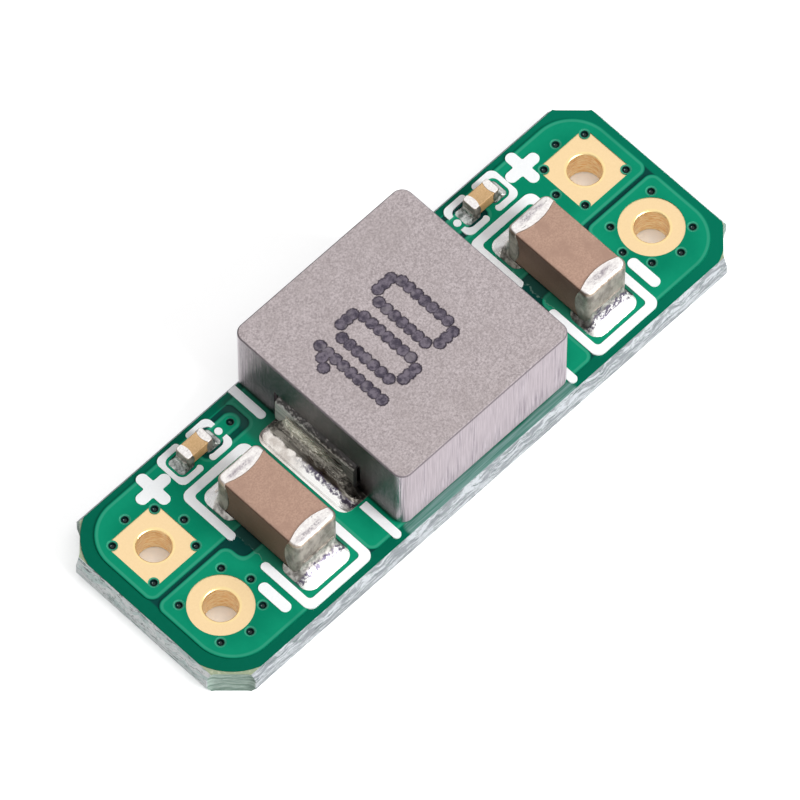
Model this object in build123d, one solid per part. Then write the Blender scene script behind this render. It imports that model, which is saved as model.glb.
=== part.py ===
from build123d import *
import os
from math import sqrt

# LC filter module: a small circuit board that carries one moulded power inductor between two large and
# two small ceramic chip capacitors. Millimetres. The origin is the centre of the four wire holes on the
# underside. X runs from the input end to the output end, Y towards the positive row, Z up.

# Board layers, from the underside up
mask_thickness = 0.025
foil_thickness = 0.035
core_thickness = 0.93
ink_thickness = 0.02

# Board outline: snapped out of a panel along scored grooves, with the corners routed away as diamonds
board_length = 20.0
board_width = 6.7
score_depth = 0.26
score_lip = 0.15
score_shift = (-0.08, -0.045)
corner_cut = 1.1
corner_cut_radius = 0.35
mask_corner_radius = 1.84

# Wire holes: plated, square lands in the positive row and round ones in the negative row
hole_inset = 1.6
hole_span = board_length - 2 * hole_inset
hole_pitch = 2.6
hole_radius = 0.5
hole_plating = 0.04
rim_break = 0.025
land_size = 1.9
land_corner_radius = 0.2

# Vias: small plated holes closed by the solder mask
via_radius = 0.12
via_plating = 0.03
via_ring_radius = 1.145
via_collar = 0.16
dimple_depth = 0.13
dimple_rim = 0.04
dimple_rim_depth = 0.02
track_via = (4.22, 2.58)

# Copper fields: the outer edge, the gap between two nets and the rounding of their corners
field_end_inset = 0.35
field_side_inset = 0.31
field_length = board_length - 2 * field_end_inset
field_width = board_width - 2 * field_side_inset
field_gap = 0.2
field_end_radius = 1.25
field_corner_radius = 0.25
field_margin = 0.2
ground_shoulder = 0.55
ground_reach = 0.775
ground_corner_radius = 0.3
island_length = 4.6
relief_margin = 0.05
track_width = 0.5

# Inductor: pressed block, wound ring inside it and a folded strip on each side
block_size = 6.6
block_height = 2.6
block_corner_radius = 0.35
block_edge_break = 0.04
block_shift = (0.08, 0.18)
ring_outer_radius = 2.4
ring_inner_radius = 1.2
ring_height = 1.5
ring_edge_radius = 0.2
lead_width = 1.2
terminal_width = 3.05
terminal_thickness = 0.15
terminal_reach = 3.42
terminal_exit = 1.12
terminal_bend = 0.25
terminal_root = 2.6
foot_end = 2.25
foot_proud = 0.05
pocket_depth = 0.1
pocket_clearance = 0.15
pocket_head = 0.08
foot_clearance = 0.1
coil_pad_inner = 2.1
coil_pad_outer = 4.11
coil_pad_width = 3.51
coil_pad_radius = 0.35
coil_fillet_height = 0.9
solder_film = 0.04

# Large chip capacitors, lying along Y, and their pads
chip_length = 3.2
chip_width = 1.6
chip_height = 1.6
chip_band = 0.5
chip_plating = 0.03
chip_corner_radius = 0.22
chip_edge_radius = 0.14
chip_ceramic_edge_radius = 0.08
chip_boundary_radius = 1.9
chip_off_middle = 0.18
chip_x = (coil_pad_outer + hole_span / 2 - land_size / 2) / 2 - chip_off_middle
chip_at = (chip_x, -0.65)
chip_shift = {"input": (0.07, 0.06), "output": (0.06, -0.03)}
chip_pad_length = 1.24
chip_pad_width = 1.76
chip_pad_pitch = 3.05
chip_pad_radius = 0.35
chip_fillet_height = 0.62

# Small chip capacitors, lying along X, and their pads
small_length = 1.0
small_width = 0.52
small_height = 0.5
small_band = 0.26
small_plating = 0.012
small_corner_radius = 0.09
small_edge_radius = 0.05
small_ceramic_edge_radius = 0.038
small_boundary_radius = 0.55
small_edge_inset = 0.76
small_at = (chip_x - 0.02, board_width / 2 - small_edge_inset)
small_pad_length = 0.56
small_pad_width = 0.62
small_pad_pitch = 1.0
small_pad_radius = 0.14
small_fillet_height = 0.27

# Solder joints: where their sections lie on the way up, how hollow they are and how they narrow
joint_steps = (0, 0.12, 0.35, 0.65, 1)
joint_hollow = 2.6
joint_waist = 0.8
joint_rounding = 0.19

# White legend
legend_stroke = 0.27
legend_round_share = 0.48
legend_clearance = 0.08
chip_mark = (2.49, 5.08)
chip_mark_gap = 1.09
small_mark = (2.02, 1.15)
small_mark_stroke = 0.22
small_mark_gap = 0.31
small_mark_side_gap = 0.45
small_dot_radius = 0.115
small_dot_out = 0.92
coil_mark_length = 7.14
coil_mark_shift = -0.03
coil_mark_low = (-3.27, -1.74)
coil_mark_high = 2.0
sign_offset = 1.2
sign_at = hole_span / 2 - sign_offset
plus_y = 2.56
plus_size = 1.2
plus_stroke = 0.36
plus_inner_radius = 0.05
minus_y = -2.18
minus_size = (0.34, 1.14)

# Heights of the layers' faces
foil_bottom = mask_thickness
core_bottom = foil_bottom + foil_thickness
core_top = core_bottom + core_thickness
foil_top = core_top + foil_thickness
mask_top = foil_top + mask_thickness
seat = foil_top + solder_film
block_bottom = seat + foot_proud
TALL = 2 * block_height
TOUCH = 1e-6


def slab(shape, bottom, top):
    """A flat shape made a plate between two heights."""
    return extrude(Pos(0, 0, bottom) * shape, top - bottom)


def discs(radius, points):
    """One disc on each point."""
    return Sketch() + [Pos(x, y) * Circle(radius) for x, y in points]


def both_ends(shape):
    """A shape of the output end with its mirror image at the input end."""
    return shape + mirror(shape, Plane.YZ)


def span(x_low, x_high, y_low, y_high, radius):
    """A rounded rectangle given by its sides."""
    middle = Pos((x_low + x_high) / 2, (y_low + y_high) / 2)
    return middle * RectangleRounded(x_high - x_low, y_high - y_low, radius)


# Where the holes and vias are
hole_centres = {
    "input_positive": (-hole_span / 2, hole_pitch / 2),
    "input_negative": (-hole_span / 2, -hole_pitch / 2),
    "output_positive": (hole_span / 2, hole_pitch / 2),
    "output_negative": (hole_span / 2, -hole_pitch / 2),
}


def via_ring(x, y):
    """Six vias round a wire hole, none towards the board's end or the partner hole."""
    inward = -1 if x > 0 else 1
    outer = 1 if y > 0 else -1
    step = via_ring_radius / sqrt(2)
    corners = [(x + i * step, y + j * step) for i in (-1, 1) for j in (-1, 1)]
    return corners + [(x + inward * via_ring_radius, y), (x, y + outer * via_ring_radius)]


def mirrored(x, y):
    """A point of the output end and its image at the input end."""
    return [(x, y), (-x, y)]


vias = [point for centre in hole_centres.values() for point in via_ring(*centre)]
vias += mirrored(*track_via)
via_bores = discs(via_radius + via_plating, vias)


def land(name):
    """The outline of a hole's land: square for positive, round for negative."""
    shape = Circle(land_size / 2)
    if name.endswith("positive"):
        shape = RectangleRounded(land_size, land_size, land_corner_radius)
    return Pos(*hole_centres[name]) * shape


lands = Sketch() + [land(name) for name in hole_centres]


# Substrate
def board_plan():
    """The plan at the snapped web: a rectangle less four routed diamonds with rounded corners."""
    length = board_length + 2 * score_lip
    width = board_width + 2 * score_lip
    side = corner_cut * sqrt(2)
    diamond = Rot(0, 0, 45) * RectangleRounded(side, side, corner_cut_radius)
    corners = [Pos(i * length / 2, j * width / 2) * diamond for i in (-1, 1) for j in (-1, 1)]
    return Pos(*score_shift) * (Rectangle(length, width) - corners)


def scored_profile(width):
    """The section across a scored edge pair: full height inside, a narrower web at the snapped lip."""
    inner = width / 2
    outer = inner + score_lip
    low = core_bottom + score_depth
    high = core_top - score_depth
    right = [(inner, core_bottom), (outer, low), (outer, high), (inner, core_top)]
    left = [(-x, z) for x, z in reversed(right)]
    return make_face(Polyline(right + left, close=True))


def substrate():
    """The core, with grooves along its edges and every hole drilled to the plating's outside."""
    shift_x, shift_y = score_shift
    along = extrude(Plane.YZ * scored_profile(board_width), board_length, both=True)
    across = extrude(Plane.XZ * scored_profile(board_length), board_length, both=True)
    core = slab(board_plan(), core_bottom, core_top)
    core = core & (Pos(0, shift_y, 0) * along) & (Pos(shift_x, 0, 0) * across)
    drilled = discs(hole_radius + hole_plating, hole_centres.values()) + via_bores
    return core - slab(drilled, core_bottom, core_top)


board_face = board_plan() & (Pos(*score_shift) * Rectangle(board_length, board_width))

# Pads of the soldered parts
chip_pad_x, chip_pad_y = chip_at
small_pad_x, small_pad_y = small_at


def chip_pad(end):
    """A large capacitor's pad; end is 1 for its positive end and -1 for its ground end."""
    pad = RectangleRounded(chip_pad_width, chip_pad_length, chip_pad_radius)
    return Pos(chip_pad_x, chip_pad_y + end * chip_pad_pitch / 2) * pad


def small_pad(end):
    """A small capacitor's pad; end is 1 for the pad away from the inductor and -1 for the other."""
    pad = RectangleRounded(small_pad_length, small_pad_width, small_pad_radius)
    return Pos(small_pad_x + end * small_pad_pitch / 2, small_pad_y) * pad


coil_pad = span(coil_pad_inner, coil_pad_outer, -coil_pad_width / 2, coil_pad_width / 2, coil_pad_radius)
pads = both_ends(chip_pad(1) + chip_pad(-1) + small_pad(1) + small_pad(-1) + coil_pad)

# Copper fields, drawn for the output end
field_edge = field_width / 2
field_end = field_length / 2
strip_inner = coil_pad_inner - field_margin
strip_outer = coil_pad_outer + field_margin
field_limit = RectangleRounded(field_length, field_width, field_end_radius)


def small_track():
    """The small capacitor's ground pad with its short track to a via."""
    via_x, via_y = track_via
    pad_x = small_pad_x - small_pad_pitch / 2
    track = Pos((via_x + pad_x) / 2, via_y) * SlotCenterToCenter(pad_x - via_x, track_width)
    return track + small_pad(-1)


def positive_field():
    """Foil from the positive hole to the inductor's pad, kept clear of the ground track."""
    band = span(strip_inner, field_end, field_gap / 2, field_edge, field_corner_radius)
    strip = span(strip_inner, strip_outer, -field_edge, field_edge, field_corner_radius)
    via_x, via_y = track_via
    reach = small_pad_x - small_pad_pitch / 2 + small_pad_length / 2
    clear = span(
        via_x - track_width / 2 - field_gap,
        reach + field_gap,
        via_y - track_width / 2 - field_gap - relief_margin,
        via_y + track_width / 2 + field_gap + relief_margin,
        track_width / 2,
    )
    return ((band + strip) & field_limit) - clear


def ground_field():
    """Foil round the negative hole and under the large capacitor's ground pad."""
    shoulder = chip_pad_x + chip_pad_width / 2 + ground_shoulder
    low_top = chip_pad_y - chip_pad_pitch / 2 + chip_pad_length / 2 + ground_reach
    strip = strip_outer + field_gap
    low = span(strip, field_end, -field_edge, low_top, field_corner_radius)
    high = span(shoulder, field_end, -field_edge, -field_gap / 2, field_corner_radius)
    field = low + high
    inner_corner = field.vertices().sort_by_distance((shoulder, low_top, 0))[0]
    return fillet(inner_corner, ground_corner_radius) & field_limit


def underside_island():
    """Foil on the underside round the positive hole and its vias."""
    start = field_end - island_length
    return span(start, field_end, field_gap / 2, field_edge, field_corner_radius) & field_limit


def underside_ground():
    """The rest of the underside, one gap away from the two islands."""
    start = field_end - island_length - field_gap
    clear = Rectangle(field_length - start, field_width + field_gap)
    return field_limit - both_ends(Pos((start + field_length) / 2, field_width / 2) * clear)


top_fields = {
    "copper_input_positive": mirror(positive_field(), Plane.YZ),
    "copper_output_positive": positive_field(),
    "copper_input_ground": mirror(ground_field(), Plane.YZ),
    "copper_output_ground": ground_field(),
    "small_capacitor_tracks": both_ends(small_track()),
}
underside_fields = {
    "copper_underside_ground": underside_ground(),
    "copper_underside_positive": both_ends(underside_island()),
}


def foil(shape, bottom, top):
    """A field etched in foil, less the lands and the via bores."""
    return slab(shape - lands - via_bores, bottom, top)


# Plated holes and vias
def plated_hole(name):
    """A barrel with a land at each end, and a worn break on the rims."""
    x, y = hole_centres[name]
    ring = land(name) - via_bores
    plate = slab(ring, core_top, foil_top) + slab(ring, foil_bottom, core_bottom)
    barrel = slab(Pos(x, y) * Circle(hole_radius + hole_plating), foil_bottom, foil_top)
    bore = slab(Pos(x, y) * Circle(hole_radius), foil_bottom, foil_top)
    sleeve = plate + barrel - bore
    rims = sleeve.edges().filter_by(GeomType.CIRCLE)
    rims = rims.filter_by(lambda edge: abs(edge.radius - hole_radius) < hole_plating / 2)
    return chamfer(rims, rim_break)


def via_barrels():
    """The vias' plating, flush with both foils."""
    return slab(via_bores - discs(via_radius, vias), foil_bottom, foil_top)


# Solder mask
def relief(copper):
    """Where the film stands higher: over the copper and a little past its edges."""
    return Sketch() + [offset(face, relief_margin) for face in copper.faces()]


def mask_film(copper, openings, plan):
    """The film from the core's face up: raised over the copper, open at lands and pads."""
    film = slab(plan, core_top, core_top + mask_thickness) + slab(relief(copper) & plan, core_top, mask_top)
    return film - slab(openings, core_top, mask_top) - slab(copper, core_top, foil_top)


def dimple():
    """The hollow that the film leaves in a via: a bowl with a flared rim, as a cutter on the axis."""
    neck = (via_radius - dimple_rim_depth, -dimple_rim_depth)
    floor = (0, -dimple_depth)
    rim = via_radius + dimple_rim
    bowl = TangentArc(floor, neck, tangent=(1, 0))
    flare = Polyline(neck, (rim, 0), (rim, mask_thickness), (0, mask_thickness), floor)
    return revolve(Plane.XZ * make_face(bowl + flare), Axis.Z)


copper_top = lands + Sketch() + list(top_fields.values())
copper_underside = lands + Sketch() + list(underside_fields.values())
mask_plan = RectangleRounded(board_length + 2 * score_lip, board_width + 2 * score_lip, mask_corner_radius)
land_openings = lands - discs(via_collar, vias)


def solder_mask_top():
    """Film over the top with the pads left open and a dimple in each via."""
    film = mask_film(copper_top, land_openings + pads, mask_plan & board_face)
    plug_bottom = mask_top - dimple_depth - mask_thickness
    film += slab(discs(via_radius, vias), plug_bottom, mask_top)
    return film - [Pos(x, y, mask_top) * dimple() for x, y in vias]


def solder_mask_underside():
    """Film over the underside, open at the lands and flat over the vias."""
    film = mask_film(copper_underside, land_openings, board_face)
    return Pos(0, 0, core_bottom + core_top) * (Rot(180, 0, 0) * (mirror(film, Plane.XZ)))


# White legend, drawn for the output end
def frame_mark(size, stroke):
    """A rounded rectangular line."""
    length, width = size
    inner = RectangleRounded(length - 2 * stroke, width - 2 * stroke, stroke / 2)
    return RectangleRounded(length, width, stroke) - inner


def rounded_ends(shape, stroke):
    """A mark with every square end of its lines rounded, as ink spreads."""
    radius = legend_round_share * stroke
    return fillet([corner for corner in shape.vertices() if is_square(corner, shape, radius)], radius)


def is_square(corner, shape, radius):
    """True where two straight lines of the outline meet, each long enough for the rounding."""
    meeting = [edge for edge in shape.edges() if edge.distance_to(corner) < TOUCH]
    return all(edge.geom_type == GeomType.LINE and edge.length > 2 * radius for edge in meeting)


def chip_marks():
    """Two brackets round the large capacitor."""
    frame = frame_mark(chip_mark, legend_stroke) - Rectangle(2 * chip_mark[0], chip_mark_gap)
    return Pos(*chip_at) * rounded_ends(frame, legend_stroke)


def small_marks():
    """Two brackets round the small capacitor, open towards the inductor."""
    length, width = small_mark
    frame = frame_mark(small_mark, small_mark_stroke) - Rectangle(small_mark_gap, 2 * width)
    frame -= Pos(-length / 2, 0) * Rectangle(2 * small_mark_stroke, small_mark_side_gap)
    return Pos(*small_at) * rounded_ends(frame, small_mark_stroke)


def small_dot():
    """The dot in the opening, at the small capacitor's ground end."""
    return Pos(small_pad_x - small_dot_out, small_pad_y) * Circle(small_dot_radius)


def sign_marks():
    """The plus and the minus beside the wire holes."""
    bar = RectangleRounded(plus_size, plus_stroke, legend_round_share * plus_stroke)
    plus = bar + Rot(0, 0, 90) * bar
    inner = [corner for corner in plus.vertices() if abs(corner.X) + abs(corner.Y) < plus_stroke + TOUCH]
    plus = Pos(sign_at, plus_y) * fillet(inner, plus_inner_radius)
    minus = RectangleRounded(*minus_size, legend_round_share * minus_size[0])
    return plus + Pos(sign_at, minus_y) * minus


def coil_marks():
    """The inductor's outline, which shows as a line past each end of its pads, cut off at the board's edge."""
    outer = coil_mark_length / 2
    inner = outer - legend_stroke
    rounding = legend_round_share * legend_stroke
    low = span(inner, outer, *coil_mark_low, rounding)
    high = span(inner, outer, coil_mark_high, board_width, rounding)
    return (Pos(coil_mark_shift, 0) * both_ends(low + high)) & board_face


def silkscreen_legend():
    """Ink with a flat top that fills down to the film below, which stands higher over the copper."""
    marks = both_ends(chip_marks() + small_marks() + sign_marks()) + coil_marks()
    marks = marks - offset(pads, legend_clearance) + both_ends(small_dot())
    marks = Sketch() + [face for face in marks.faces() if face.area > legend_stroke * legend_stroke / 3]
    ink_top = mask_top + ink_thickness
    raised = relief(copper_top)
    return slab(marks & raised, mask_top, ink_top) + slab(marks - raised, core_top + mask_thickness, ink_top)


# Chip capacitors, built along X with the underside of their ends at height 0
def chip_shell(length, width, height, corner_radius, edge_radius):
    """The outer form of a chip: a block with round corners in plan and softened edges."""
    block = Pos(0, 0, height / 2) * Box(length, width, height)
    block = fillet(block.edges().filter_by(Axis.Z), corner_radius)
    faces = block.faces().sort_by(Axis.Z)
    return fillet(faces[0].edges() + faces[-1].edges(), edge_radius)


def chip_ceramic(length, width, height, plating, corner_radius, edge_radius):
    """The ceramic block inside the plated ends."""
    inner = [size - 2 * plating for size in (length, width, height)]
    return Pos(0, 0, plating) * chip_shell(*inner, corner_radius - plating, edge_radius)


def chip_end(shell, ceramic, length, height, band, boundary_radius):
    """A dipped end: the shell's skin inside a large ball, so that its edge bows along each face."""
    rise = sqrt(boundary_radius**2 - (height / 2) ** 2)
    ball = Pos(length / 2 - band + rise, 0, height / 2) * Sphere(boundary_radius)
    return (shell - ceramic) & ball


def solder_joint(pad, wall, wall_width, rise, envelope):
    """Solder from a pad up a wall, hollow in section; the wall faces +X at height above the pad's foil."""
    box = pad.bounding_box()
    low, high = box.min.X, box.max.X
    pad_width, pad_y = box.size.Y, box.center().Y
    skin = solder_film
    sections = []
    waist = wall_width * joint_waist
    for share in joint_steps:
        spread = (1 - share) ** joint_hollow
        outer = wall + skin + (high - wall - skin) * spread
        width = waist + (pad_width - waist) * spread
        outline = RectangleRounded(outer - low, width, min(width, outer - low) * joint_rounding)
        height = foil_top + share * rise
        sections.append(Pos((outer + low) / 2, pad_y * spread, height) * outline)
    return (loft(sections) & slab(pad, foil_top, foil_top + rise)) - envelope


def turned(shape, angle, x, y, z=0):
    """A shape built about the origin, turned about Z and moved into place."""
    return Pos(x, y, z) * (Rot(0, 0, angle) * shape)


def chip_parts(name, spec, angles, centre, pad_shapes):
    """One capacitor: ceramic, two ends and two joints, each end named by the net it stands on."""
    length, width, height, band, plating, corner_radius, edge_radius, inner_edge, boundary_radius, rise = spec
    x, y = centre
    shell = chip_shell(length, width, height, corner_radius, edge_radius)
    ceramic = chip_ceramic(length, width, height, plating, corner_radius, inner_edge)
    end = chip_end(shell, ceramic, length, height, band, boundary_radius)
    parts = {name + "_ceramic": turned(ceramic, angles["positive"], x, y, seat)}
    for net, angle in angles.items():
        parts[name + "_end_" + net] = turned(end, angle, x, y, seat)
        local_pad = Rot(0, 0, -angle) * (Pos(-x, -y) * pad_shapes[net])
        joint = solder_joint(local_pad, length / 2, width, rise, Pos(0, 0, seat) * shell)
        parts["solder_" + name + "_" + net] = turned(joint, angle, x, y)
    return parts


chip_spec = (
    chip_length,
    chip_width,
    chip_height,
    chip_band,
    chip_plating,
    chip_corner_radius,
    chip_edge_radius,
    chip_ceramic_edge_radius,
    chip_boundary_radius,
    chip_fillet_height,
)
small_spec = (
    small_length,
    small_width,
    small_height,
    small_band,
    small_plating,
    small_corner_radius,
    small_edge_radius,
    small_ceramic_edge_radius,
    small_boundary_radius,
    small_fillet_height,
)


# Inductor, built about its own centre with the block's underside at height 0
def terminal():
    """One strip: out of the block, bent down its side and folded under it."""
    middle = terminal_reach - terminal_thickness / 2
    foot = terminal_thickness / 2 - foot_proud
    path = FilletPolyline(
        (terminal_root, terminal_exit),
        (middle, terminal_exit),
        (middle, foot),
        (foot_end, foot),
        radius=terminal_bend - terminal_thickness / 2,
    )
    section = Plane.XZ * trace(path, terminal_thickness)
    return extrude(section, terminal_width / 2, both=True)


def winding():
    """The wound ring with its two flat leads, which end on the strips' roots."""
    middle = block_height / 2
    ring = Cylinder(ring_outer_radius, ring_height) - Cylinder(ring_inner_radius, ring_height)
    ring = fillet(ring.edges().filter_by(GeomType.CIRCLE), ring_edge_radius)
    lead = Box(2 * terminal_root, lead_width, terminal_thickness) - Cylinder(ring_inner_radius, ring_height)
    return Pos(0, 0, middle) * ring + Pos(0, 0, terminal_exit) * lead


def block(coil, strips):
    """The pressed block, moulded round the coil and roots, with a pocket for each folded strip."""
    body = Pos(0, 0, block_height / 2) * Box(block_size, block_size, block_height)
    body = fillet(body.edges().filter_by(Axis.Z), block_corner_radius)
    body = chamfer(body.faces().sort_by(Axis.Z)[-1].edges(), block_edge_break)
    head = terminal_exit + terminal_thickness / 2 + pocket_head
    pocket = Box(pocket_depth, terminal_width + 2 * pocket_clearance, 2 * head)
    foot_recess = Box(
        block_size / 2 - foot_end + foot_clearance,
        terminal_width + 2 * foot_clearance,
        2 * (terminal_thickness - foot_proud),
    )
    for side in (-1, 1):
        body -= Pos(side * (block_size - pocket_depth) / 2, 0, 0) * pocket
        body -= Pos(side * (block_size / 2 + foot_end - foot_clearance) / 2, 0, 0) * foot_recess
    return body - coil - strips


def inductor_parts():
    """Block, coil, both strips and both joints, in place on the board."""
    x, y = block_shift
    strip = terminal()
    strips = {"input": mirror(strip, Plane.YZ), "output": strip}
    coil = winding()
    place = Pos(x, y, block_bottom)
    body = place * block(coil, list(strips.values()))
    parts = {"inductor_body": body, "inductor_winding": place * coil}
    for name, angle in (("input", 180), ("output", 0)):
        parts["inductor_terminal_" + name] = place * strips[name]
        pad = coil_pad if name == "output" else mirror(coil_pad, Plane.YZ)
        local_pad = Rot(0, 0, -angle) * (Pos(-x, -y) * pad)
        folded = Pos(0, 0, block_bottom) * strip
        joint = solder_joint(local_pad, terminal_reach, terminal_width, coil_fillet_height, folded)
        film = slab(local_pad, foil_top, seat)
        outside = Box(TALL, TALL, TALL, align=(Align.MIN, Align.CENTER, Align.MIN))
        outside = Pos(terminal_reach, 0, 0) * outside
        joint = film + (joint & outside)
        parts["solder_inductor_" + name] = turned(joint, angle, x, y)
    return parts


def board_parts():
    """The board's layers, each in its own node."""
    parts = {"substrate": substrate()}
    parts["solder_mask_top"] = solder_mask_top()
    parts["solder_mask_underside"] = solder_mask_underside()
    for name, shape in top_fields.items():
        parts[name] = foil(shape, core_top, foil_top)
    for name, shape in underside_fields.items():
        parts[name] = foil(shape, foil_bottom, core_bottom)
    for name in hole_centres:
        parts["plated_hole_" + name] = plated_hole(name)
    parts["via_barrels"] = via_barrels()
    parts["silkscreen_legend"] = silkscreen_legend()
    return parts


def capacitor_parts():
    """Both large and both small capacitors."""
    parts = {}
    for name, side in (("input", -1), ("output", 1)):
        shift_x, shift_y = chip_shift[name]
        large_pads = {"positive": chip_pad(1), "ground": chip_pad(-1)}
        small_pads = {"positive": small_pad(1), "ground": small_pad(-1)}
        if side < 0:
            large_pads = {net: mirror(pad, Plane.YZ) for net, pad in large_pads.items()}
            small_pads = {net: mirror(pad, Plane.YZ) for net, pad in small_pads.items()}
        centre = (side * chip_pad_x + shift_x, chip_pad_y + shift_y)
        upright = {"positive": 90, "ground": -90}
        parts |= chip_parts("capacitor_" + name, chip_spec, upright, centre, large_pads)
        centre = (side * small_pad_x, small_pad_y)
        flat = {"positive": 0, "ground": 180} if side > 0 else {"positive": 180, "ground": 0}
        parts |= chip_parts("small_capacitor_" + name, small_spec, flat, centre, small_pads)
    return parts


os.makedirs("parts", exist_ok=True)
for node, shape in (board_parts() | inductor_parts() | capacitor_parts()).items():
    export_step(shape, "parts/" + node + ".step")
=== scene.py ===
import math

import bpy
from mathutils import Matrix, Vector

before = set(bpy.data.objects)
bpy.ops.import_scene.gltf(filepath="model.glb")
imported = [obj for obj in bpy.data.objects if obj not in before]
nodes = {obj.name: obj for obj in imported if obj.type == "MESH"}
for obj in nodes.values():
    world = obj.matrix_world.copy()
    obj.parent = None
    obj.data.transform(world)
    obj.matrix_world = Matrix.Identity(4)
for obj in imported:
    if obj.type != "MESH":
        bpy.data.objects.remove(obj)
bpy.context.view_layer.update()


# Substrate: the glass-fibre core of the board, snapped out of a panel along scored grooves. Its edges show
# torn fibres in wavy layers, its routed corners are greener, and bare resin shows outside the lacquer.
MM = 0.001


def put(tree, kind, inputs=(), **settings):
    """Adds a node, sets its settings, and gives each named input a value or a link."""
    node = tree.nodes.new(kind)
    for name, value in settings.items():
        setattr(node, name, value)
    for key, value in dict(inputs).items():
        if isinstance(value, bpy.types.NodeSocket):
            tree.links.new(value, node.inputs[key])
        else:
            node.inputs[key].default_value = value
    return node


def calc(tree, operation, *values):
    """One step of arithmetic on numbers or sockets."""
    return put(tree, "ShaderNodeMath", dict(enumerate(values)), operation=operation).outputs[0]


def times(tree, first, second):
    """The product of two numbers or sockets."""
    return calc(tree, "MULTIPLY", first, second)


def vector(tree, operation, *values, result=0):
    """One step of arithmetic on places or directions."""
    return put(tree, "ShaderNodeVectorMath", dict(enumerate(values)), operation=operation).outputs[result]


def between(tree, value, low, high):
    """0 below low, 1 above high and a smooth ramp from one to the other."""
    sockets = {"Value": value, "From Min": low, "From Max": high}
    return put(tree, "ShaderNodeMapRange", sockets, interpolation_type="SMOOTHSTEP").outputs[0]


def blend(tree, share, first, second):
    """The first colour where share is 0 and the second where it is 1."""
    node = put(tree, "ShaderNodeMix", data_type="RGBA")
    for index, value in ((0, share), (6, first), (7, second)):
        if isinstance(value, bpy.types.NodeSocket):
            tree.links.new(value, node.inputs[index])
        else:
            node.inputs[index].default_value = value if index == 0 else (*value, 1.0)
    return node.outputs[2]


def new_group(name, inputs, output, kind="Float"):
    """An empty node group with named inputs and one named output, and the inputs' sockets inside it."""
    group = bpy.data.node_groups.new(name, "ShaderNodeTree")
    for label, sort in inputs.items():
        group.interface.new_socket(label, in_out="INPUT", socket_type="NodeSocket" + sort)
    group.interface.new_socket(output, in_out="OUTPUT", socket_type="NodeSocket" + kind)
    return group, put(group, "NodeGroupInput").outputs


def grain_group():
    """Cloudy noise from 0 to 1, read at the places divided by a blotch size along each axis."""
    sockets = {"Places": "Vector", "Size": "Vector", "Detail": "Float", "Roughness": "Float"}
    group, given = new_group("cloudy_grain", sockets, "Value")
    steps = vector(group, "DIVIDE", given["Places"], given["Size"])
    wanted = {"Vector": steps, "Scale": 1.0, "Detail": given["Detail"], "Roughness": given["Roughness"]}
    put(group, "NodeGroupOutput", {0: put(group, "ShaderNodeTexNoise", wanted).outputs["Fac"]})
    return group


cloudy_grain = grain_group()


def grain(tree, places, size, detail=3.0, roughness=0.6):
    """The cloudy grain at some places in millimetres."""
    sockets = {"Places": places, "Size": size, "Detail": detail, "Roughness": roughness}
    return put(tree, "ShaderNodeGroup", sockets, node_tree=cloudy_grain).outputs[0]


def in_millimetres(tree):
    """The surface's places on the part, in millimetres."""
    metres = put(tree, "ShaderNodeTexCoord").outputs["Object"]
    return put(tree, "ShaderNodeVectorMath", {0: metres, "Scale": 1 / MM}, operation="SCALE").outputs[0]


def new_finish(name, slot_nodes, roughness, metallic=0.0, specular=0.5):
    """A material on some CAD nodes: its tree, its shader and the surface's places in millimetres."""
    material = bpy.data.materials.new(name)
    material.use_nodes = True
    tree = material.node_tree
    shader = tree.nodes["Principled BSDF"]
    shader.inputs["Roughness"].default_value = roughness
    shader.inputs["Metallic"].default_value = metallic
    shader.inputs["Specular IOR Level"].default_value = specular
    for node in slot_nodes:
        nodes[node].data.materials.clear()
        nodes[node].data.materials.append(material)
    return tree, shader, in_millimetres(tree)


def relief(tree, shader, height, depth, strength=1.0):
    """Bumps of a real depth in millimetres under the shader."""
    sockets = {"Height": height, "Distance": depth * MM, "Strength": strength}
    tree.links.new(put(tree, "ShaderNodeBump", sockets).outputs[0], shader.inputs["Normal"])


def xyz(tree, places):
    """The three coordinates as separate numbers."""
    return put(tree, "ShaderNodeSeparateXYZ", {0: places}).outputs


def facing(tree):
    """How far the surface faces along each axis, whichever way, from 0 to 1."""
    return xyz(tree, vector(tree, "ABSOLUTE", put(tree, "ShaderNodeNewGeometry").outputs["Normal"]))


def swing(tree, noise, width):
    """Noise moved to lie about zero, over some millimetres."""
    return times(tree, calc(tree, "SUBTRACT", noise, 0.5), width)


def wave_group():
    """Places whose height sways by some millimetres, so that level lines turn wavy."""
    sockets = {"Places": "Vector", "Size": "Vector", "Height": "Float"}
    group, given = new_group("wavy_layers", sockets, "Places", "Vector")
    steps = vector(group, "DIVIDE", given["Places"], given["Size"])
    wanted = {"Vector": steps, "Scale": 1.0, "Detail": 2.0, "Roughness": 0.6}
    noise = put(group, "ShaderNodeTexNoise", wanted).outputs["Fac"]
    sway = put(group, "ShaderNodeCombineXYZ", {2: swing(group, noise, given["Height"])}).outputs[0]
    put(group, "NodeGroupOutput", {0: vector(group, "ADD", given["Places"], sway)})
    return group


wavy_layers = wave_group()


def waved(tree, places, size, height):
    """The wavy layers' places, with waves of some size and height in millimetres."""
    sockets = {"Places": places, "Size": size, "Height": height}
    return put(tree, "ShaderNodeGroup", sockets, node_tree=wavy_layers).outputs[0]


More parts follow.
